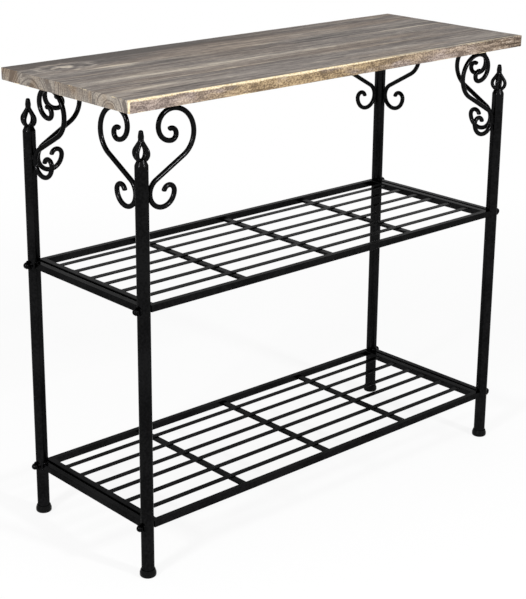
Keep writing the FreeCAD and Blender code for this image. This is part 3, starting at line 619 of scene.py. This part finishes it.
def stretched(tree, x, y, z, across, upright):
    """A vector whose first two parts are times one size and whose third is times another."""
    parts = [maths(tree, "MULTIPLY", part, size) for part, size in ((x, across), (y, across), (z, upright))]
    return vector_of(tree, *parts)


def set_position(tree, geometry, **place):
    return add_node(tree, "GeometryNodeSetPosition", {"Geometry": geometry, **place}).outputs[0]


def copies_at(tree, points, piece, **turned):
    inputs = {"Points": points, "Instance": piece, **turned}
    return add_node(tree, "GeometryNodeInstanceOnPoints", inputs).outputs[0]


def end_recipe(tree, geometry, material, smooth=True):
    """Make the instances real, shade them, set the finish and lead the result out."""
    real = add_node(tree, "GeometryNodeRealizeInstances", {0: geometry}).outputs[0]
    shaded = add_node(tree, "GeometryNodeSetShadeSmooth", {0: real, "Shade Smooth": smooth}).outputs[0]
    finished = add_node(tree, "GeometryNodeSetMaterial", {"Geometry": shaded, "Material": material})
    add_node(tree, "NodeGroupOutput", {0: finished.outputs[0]})


def run_recipe(piece, tree, sizes):
    modifier = piece.modifiers.new(tree.name, "NODES")
    modifier.node_group = tree
    for item in tree.interface.items_tree:
        if item.in_out == "INPUT" and item.name in sizes:
            modifier[item.identifier] = sizes[item.name]
    evaluated = piece.evaluated_get(bpy.context.evaluated_depsgraph_get())
    mesh = bpy.data.meshes.new_from_object(evaluated)
    piece.modifiers.clear()
    piece.data = mesh
    print(piece.name, len(mesh.polygons), "faces")


def new_piece(name, points, edges=(), faces=()):
    mesh = bpy.data.meshes.new(name)
    mesh.from_pydata(points, edges, faces)
    piece = bpy.data.objects.new(name, mesh)
    scene.collection.objects.link(piece)
    return piece


def fit_piece(piece, slot, *replaced):
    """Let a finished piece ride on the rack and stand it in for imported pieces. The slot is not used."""
    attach(piece, "root")
    if replaced:
        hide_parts(*replaced)


# %% [markdown]
# ## Brushed planks
# A wire brush takes more out of the soft early wood than out of the late wood, and hands and cloths
# wear the outer edges round. Each plank starts as the skin of a box with close lines near its
# edges. The recipe then pulls the edges in to an uneven rounding and presses the rings in by a
# fraction of a millimetre. It only ever moves points inwards, so the top keeps its size.

# %% The plank recipe
def rounded_in(tree, position, radius):
    """Pull the points near the outer edges of the whole top in to a rounding of this radius."""
    from_middle = vectors(tree, "SUBTRACT", position, (top_low + top_high) / 2)
    inner = vectors(tree, "SUBTRACT", (top_high - top_low) / 2, radius)
    kept = vectors(tree, "MINIMUM", from_middle, inner)
    kept = vectors(tree, "MAXIMUM", kept, vectors(tree, "MULTIPLY", inner, (-1, -1, -1)))
    beyond = vectors(tree, "SUBTRACT", from_middle, kept)
    excess = maths(tree, "MAXIMUM", maths(tree, "SUBTRACT", length_of(tree, beyond), radius), 0.0)
    pull = vectors(tree, "SCALE", vectors(tree, "NORMALIZE", beyond), Scale=excess)
    return vectors(tree, "SUBTRACT", position, pull)


def make_plank_recipe(name, plank):
    tree, sizes = new_recipe(f"brushed_{name}_plank", ("Least round", "Most round", "Brush depth"))
    position = add_node(tree, "GeometryNodeInputPosition").outputs[0]
    soft = smooth_step(tree, year_rings(tree, position, plank), 0.5, 0.9, 1.0, 0.0)
    brushed = maths(tree, "MULTIPLY", soft, grain(tree, position, 6.0, 40.0))
    depth = maths(tree, "MULTIPLY", brushed, sizes["Brush depth"])
    press = vectors(tree, "SCALE", add_node(tree, "GeometryNodeInputNormal").outputs[0], Scale=depth)
    pressed = vectors(tree, "SUBTRACT", position, press)
    wear = noise(tree, position, 22.0, 3.0)
    radius = smooth_step(tree, wear, 0.3, 0.75, sizes["Least round"], sizes["Most round"])
    place = rounded_in(tree, pressed, radius)
    end_recipe(tree, set_position(tree, sizes["Geometry"], Position=place), pine[name])
    return tree


# %% Cut the three planks
EDGE_LINES = (0.0, 0.35 * MM, 0.75 * MM, 1.2 * MM, 1.9 * MM, 3.0 * MM)
STEP_ALONG = 7.0 * MM
STEP_ACROSS = 0.9 * MM
STEP_THICK = 1.5 * MM


def lines_between(low, high, step):
    """Places from low to high: close together near both ends, then about one step apart."""
    first = low + EDGE_LINES[-1]
    last = high - EDGE_LINES[-1]
    count = round((last - first) / step)
    middle = [first + (last - first) * index / count for index in range(count + 1)]
    return [low + line for line in EDGE_LINES[:-1]] + middle + [high - line for line in EDGE_LINES[-2::-1]]


def box_skin(places):
    """The faces of a box as one closed skin, with lines at the given places along X, Y and Z."""
    numbers = {}
    points = []
    quads = []

    def number_of(key):
        if key not in numbers:
            numbers[key] = len(points)
            points.append([places[axis][key[axis]] for axis in range(3)])
        return numbers[key]

    for axis in range(3):
        first, second = (axis + 1) % 3, (axis + 2) % 3
        for side in (0, len(places[axis]) - 1):
            for a in range(len(places[first]) - 1):
                for b in range(len(places[second]) - 1):
                    quad = []
                    for step_a, step_b in ((0, 0), (1, 0), (1, 1), (0, 1)):
                        key = [side, side, side]
                        key[first] = a + step_a
                        key[second] = b + step_b
                        quad.append(number_of(tuple(key)))
                    quads.append(quad if side else quad[::-1])
    return points, quads


for name, plank in PLANK_FACTS.items():
    low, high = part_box(f"top_board_{name}")
    steps = (STEP_ALONG, STEP_ACROSS, STEP_THICK)
    points, quads = box_skin([lines_between(low[axis], high[axis], steps[axis]) for axis in range(3)])
    board = new_piece(f"pine_plank_{name}", points, faces=quads)
    run_recipe(board, make_plank_recipe(name, plank),
               {"Least round": 0.8 * MM, "Most round": 2.2 * MM, "Brush depth": 0.28 * MM})
    fit_piece(board, "pine_top", f"top_board_{name}")

# %% [markdown]
# ## Rolled slats
# The slats are flat strip from a rolling mill, so their long edges are round. One recipe sweeps a
# rounded rectangle along a line and puts a copy on every given point, and the points are the middles
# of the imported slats. A shelf's slats become one piece.

# %% Roll the slats of both shelves
def make_slat_recipe():
    tree, sizes = new_recipe("rolled_slats", ("Length", "Width", "Thickness", "Edge round"))
    half = maths(tree, "DIVIDE", sizes["Length"], 2.0)
    ends = {"Start": vector_of(tree, maths(tree, "MULTIPLY", half, -1.0)), "End": vector_of(tree, half)}
    line = add_node(tree, "GeometryNodeCurvePrimitiveLine", ends).outputs[0]
    section = add_node(tree, "GeometryNodeCurvePrimitiveQuadrilateral",
                       {"Width": sizes["Width"], "Height": sizes["Thickness"]}).outputs[0]
    rounding = {"Curve": section, "Radius": sizes["Edge round"], "Count": 3}
    rounded = add_node(tree, "GeometryNodeFilletCurve", rounding, mode="POLY").outputs[0]
    strip = add_node(tree, "GeometryNodeCurveToMesh",
                     {"Curve": line, "Profile Curve": rounded, "Fill Caps": True}).outputs[0]
    end_recipe(tree, copies_at(tree, sizes["Geometry"], strip), powder_coat, smooth=False)
    return tree


SHELVES = ("lower", "upper")
EDGE_ROUND_SHARE = 0.46
slat_recipe = make_slat_recipe()
slat_boxes = {}
for shelf in SHELVES:
    names = sorted(node for node in nodes if node.startswith(f"{shelf}_shelf_slat_"))
    boxes = [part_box(node) for node in names]
    slat_boxes[shelf] = boxes
    slat_size = boxes[0][1] - boxes[0][0]
    slats = new_piece(f"{shelf}_shelf_slats", [(low + high) / 2 for low, high in boxes])
    run_recipe(slats, slat_recipe, {"Length": slat_size.x, "Width": slat_size.y, "Thickness": slat_size.z,
                                    "Edge round": EDGE_ROUND_SHARE * slat_size.z})
    fit_piece(slats, "black_frame", *names)

# %% [markdown]
# ## Spot welds
# Where a slat crosses a bar it is pressed between two electrodes and welded, which leaves a shallow
# crater with a low rim. The recipe flattens a small ball, dents its middle and sets it on every
# crossing.

# %% Mark the spot welds
def make_spot_recipe():
    tree, sizes = new_recipe("spot_weld_marks", ("Mark radius", "Mark height"))
    ball = ball_mesh(tree, segments=12, rings=8)
    x, y, z = parts_of(tree, add_node(tree, "GeometryNodeInputPosition").outputs[0])
    from_middle = length_of(tree, vector_of(tree, x, y))
    dented = maths(tree, "MULTIPLY", z, smooth_step(tree, from_middle, 0.1, 0.7, 0.35, 1.0))
    place = stretched(tree, x, y, dented, sizes["Mark radius"], sizes["Mark height"])
    mark = set_position(tree, ball, Position=place)
    end_recipe(tree, copies_at(tree, sizes["Geometry"], mark), powder_coat)
    return tree


crossings = []
for shelf in SHELVES:
    bars = [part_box(node) for node in nodes if node.startswith(f"{shelf}_shelf_cross_bar_")]
    for slat_low, slat_high in slat_boxes[shelf]:
        for bar_low, bar_high in bars:
            crossings.append(((bar_low.x + bar_high.x) / 2, (slat_low.y + slat_high.y) / 2, slat_high.z))
spots = new_piece("spot_weld_marks", crossings)
run_recipe(spots, make_spot_recipe(), {"Mark radius": 3.2 * MM, "Mark height": 0.7 * MM})
fit_piece(spots, "black_frame")

# %% [markdown]
# ## Weld seams
# A hand weld is a row of dabs, each laid half over the one before. The seams are drawn as plain
# lines: up both sides of each scroll where it lies against its post, round the end of each end rail,
# across the slat ends and along the tabs under the top. The recipe walks along the lines and drops
# uneven dabs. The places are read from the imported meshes: a scroll touches its post where it comes
# nearest to the post's axis, and its tab sits on its highest point.

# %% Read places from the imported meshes
NEAR_ENOUGH = 0.05 * MM
seam_points = []
seam_edges = []


def add_seam(points, closed=False):
    first = len(seam_points)
    seam_points.extend(points)
    seam_edges.extend((first + index, first + index + 1) for index in range(len(points) - 1))
    if closed:
        seam_edges.append((first + len(points) - 1, first))


def corner_points(node):
    mesh = nodes[node].data
    values = np.empty(len(mesh.vertices) * 3)
    mesh.vertices.foreach_get("co", values)
    return values.reshape(-1, 3)


def highest_place(node):
    points = corner_points(node)
    return Vector(points[points[:, 2] > points[:, 2].max() - NEAR_ENOUGH].mean(axis=0))


def nearest_place(node, axis):
    points = corner_points(node)
    reach = np.hypot(points[:, 0] - axis.x, points[:, 1] - axis.y)
    return Vector(points[reach < reach.min() + NEAR_ENOUGH].mean(axis=0))


# %% Seams on the scrolls and their tabs
SEAM_GRIP = 0.35 * MM
SCROLL_SEAM_LENGTH = 15 * MM
TAB_SEAM_LENGTH = 11 * MM
TAB_SEAM_ASIDE, TAB_SEAM_DROP = 0.75, 0.3
CORNERS = ("front_left", "rear_left", "front_right", "rear_right")
crowns = {}
for corner in CORNERS:
    post_low, post_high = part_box(f"post_{corner}")
    axis = (post_low + post_high) / 2
    post_radius = (post_high.x - post_low.x) / 2
    for kind in ("long", "end"):
        scroll = f"scroll_{kind}_{corner}"
        scroll_low, scroll_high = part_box(scroll)
        crown = highest_place(scroll)
        touch = nearest_place(scroll, axis)
        outwards = Vector((crown.x - axis.x, crown.y - axis.y, 0)).normalized()
        sideways = Vector((-outwards.y, outwards.x, 0))
        bar_radius = min(scroll_high.x - scroll_low.x, scroll_high.y - scroll_low.y) / 2
        to_bar = bar_radius + (touch - axis).to_2d().length
        from_post = post_radius + SEAM_GRIP
        from_bar = bar_radius + SEAM_GRIP
        along = (from_post ** 2 + to_bar ** 2 - from_bar ** 2) / (2 * to_bar)
        aside = math.sqrt(max(from_post ** 2 - along ** 2, 0.0))
        for side in (-1, 1):
            foot = axis + outwards * along + sideways * side * aside
            heights = (touch.z - SCROLL_SEAM_LENGTH / 2, touch.z + SCROLL_SEAM_LENGTH / 2)
            add_seam([(foot.x, foot.y, height) for height in heights])
            drop = Vector((0, 0, TAB_SEAM_DROP * bar_radius))
            tab_foot = crown + sideways * side * TAB_SEAM_ASIDE * bar_radius - drop
            add_seam([tab_foot - outwards * TAB_SEAM_LENGTH / 2, tab_foot + outwards * TAB_SEAM_LENGTH / 2])
        crowns[scroll] = (crown, sideways)
print(len(seam_edges), "seams on scrolls and tabs")

# %% Seams round the end rails and across the slats
SIDE_STEPS = 6
SLAT_SEAM_SHARE = 0.38


def square_round(half):
    """Points round a square of this half width, without its first point again at the end."""
    corners = ((-half, -half), (half, -half), (half, half), (-half, half))
    points = []
    for (x0, z0), (x1, z1) in zip(corners, corners[1:] + corners[:1]):
        for step in range(SIDE_STEPS):
            share = step / SIDE_STEPS
            points.append((x0 + (x1 - x0) * share, z0 + (z1 - z0) * share))
    return points


for shelf in SHELVES:
    for side in ("left", "right"):
        rail_low, rail_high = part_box(f"{shelf}_end_rail_{side}")
        rail_middle = (rail_low + rail_high) / 2
        half_rail = (rail_high.z - rail_low.z) / 2
        for face, inwards in (("front", 1), ("rear", -1)):
            post_low, post_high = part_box(f"post_{face}_{side}")
            post_y = (post_low.y + post_high.y) / 2
            post_radius = (post_high.x - post_low.x) / 2
            ring = []
            for x, z in square_round(half_rail):
                reach = math.sqrt((post_radius + SEAM_GRIP) ** 2 - x ** 2)
                ring.append((rail_middle.x + x, post_y + inwards * reach, rail_middle.z + z))
            add_seam(ring, closed=True)
    for slat_low, slat_high in slat_boxes[shelf]:
        middle_y = (slat_low.y + slat_high.y) / 2
        half_seam = SLAT_SEAM_SHARE * (slat_high.y - slat_low.y)
        for end_x in (slat_low.x, slat_high.x):
            add_seam([(end_x, y, slat_high.z) for y in (middle_y - half_seam, middle_y + half_seam)])
print(len(seam_edges), "lines of seam in all")

# %% Lay the welds
WELD_SEED = 5


def make_weld_recipe():
    tree, sizes = new_recipe("weld_dabs", ("Dab radius", "Spacing", "Least share", "Most share"))
    seam = add_node(tree, "GeometryNodeMeshToCurve", {"Mesh": sizes["Geometry"]}).outputs[0]
    pitch = {"Curve": seam, "Length": sizes["Spacing"]}
    steps = add_node(tree, "GeometryNodeResampleCurve", pitch, mode="LENGTH").outputs[0]
    dab = ball_mesh(tree, segments=8, rings=5, radius=sizes["Dab radius"])
    tangent = add_node(tree, "GeometryNodeInputTangent").outputs[0]
    along = add_node(tree, "FunctionNodeAlignRotationToVector", {"Vector": tangent}, axis="Z").outputs[0]
    shares = {2: sizes["Least share"], 3: sizes["Most share"], "Seed": WELD_SEED}
    uneven = add_node(tree, "FunctionNodeRandomValue", shares).outputs[1]
    end_recipe(tree, copies_at(tree, steps, dab, Rotation=along, Scale=uneven), powder_coat)
    return tree


welds = new_piece("weld_seams", seam_points, seam_edges)
run_recipe(welds, make_weld_recipe(),
           {"Dab radius": 1.15 * MM, "Spacing": 1.25 * MM, "Least share": 0.8, "Most share": 1.2})
fit_piece(welds, "black_frame")

# %% [markdown]
# ## Screws under the top
# Two pan-head wood screws could be seen at each post by someone who looks up under the top. The head
# is half a flattened ball with a cross pressed into it. The recipe cuts the cross with booleans, pulls
# the middle of a rod's end out to a point, and sets the screw beside each scroll's highest point.

# %% The screw recipe
# The two arms of the cross, as shares of the head's radius and height, one a little less deep
CROSS_SHARES = ((1.15, 0.3, 1.2), (0.3, 1.15, 1.14))
ON_AXIS = 0.01 * MM


def make_screw_recipe():
    labels = ("Head radius", "Head height", "Shank radius", "Shank length", "Point length")
    tree, sizes = new_recipe("cross_head_screws", labels)
    x, y, z = parts_of(tree, add_node(tree, "GeometryNodeInputPosition").outputs[0])
    half_ball = maths(tree, "MINIMUM", z, 0.0)
    place = stretched(tree, x, y, half_ball, sizes["Head radius"], sizes["Head height"])
    head = set_position(tree, ball_mesh(tree, segments=20, rings=12), Position=place)
    low = vector_of(tree, z=maths(tree, "MULTIPLY", sizes["Head height"], -1.0))
    for shares in CROSS_SHARES:
        arm_size = stretched(tree, *shares, sizes["Head radius"], sizes["Head height"])
        slot = add_node(tree, "GeometryNodeMeshCube", {"Size": arm_size}).outputs[0]
        moved = add_node(tree, "GeometryNodeTransform", {"Geometry": slot, "Translation": low}).outputs[0]
        head = add_node(tree, "GeometryNodeMeshBoolean", {"Mesh 1": head, "Mesh 2": moved},
                        operation="DIFFERENCE").outputs[0]
    rod_size = {"Vertices": 16, "Radius": sizes["Shank radius"], "Depth": sizes["Shank length"]}
    rod = add_node(tree, "GeometryNodeMeshCylinder", rod_size, fill_type="TRIANGLE_FAN").outputs[0]
    from_axis = maths(tree, "ADD", maths(tree, "ABSOLUTE", x), maths(tree, "ABSOLUTE", y))
    end_middle = maths(tree, "MULTIPLY", maths(tree, "GREATER_THAN", z, 0.0),
                       maths(tree, "LESS_THAN", from_axis, ON_AXIS))
    pull = vector_of(tree, z=maths(tree, "MULTIPLY", end_middle, sizes["Point length"]))
    rod = set_position(tree, rod, Offset=pull)
    half_shank = vector_of(tree, z=maths(tree, "DIVIDE", sizes["Shank length"], 2.0))
    shank = add_node(tree, "GeometryNodeTransform", {"Geometry": rod, "Translation": half_shank}).outputs[0]
    screw = add_node(tree, "GeometryNodeJoinGeometry")
    for piece in (shank, head):
        tree.links.new(piece, screw.inputs[0])
    end_recipe(tree, copies_at(tree, sizes["Geometry"], screw.outputs[0]), zinc_plate, smooth=False)
    return tree


# %% Drive the screws
SCREW_OFFSET = 10.5 * MM
SHANK_RADIUS = 1.8 * MM
POINT_LENGTH = 3 * MM
HEAD_HEIGHT = 2.2 * MM
HEAD_RADIUS = 3.5 * MM
screw_low, screw_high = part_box("board_screws")
head_top = screw_low.z + HEAD_HEIGHT
shank_length = screw_high.z - head_top - POINT_LENGTH
screw_points = []
for crown, sideways in crowns.values():
    inward = sideways if sideways.dot(-crown.to_2d().to_3d()) > 0 else -sideways
    place = crown + inward * SCREW_OFFSET
    screw_points.append((place.x, place.y, head_top))
screws = new_piece("top_screws", screw_points)
run_recipe(screws, make_screw_recipe(),
           {"Head radius": HEAD_RADIUS, "Head height": HEAD_HEIGHT, "Shank radius": SHANK_RADIUS,
            "Shank length": shank_length, "Point length": POINT_LENGTH})
fit_piece(screws, "plated_fixing", "board_screws")
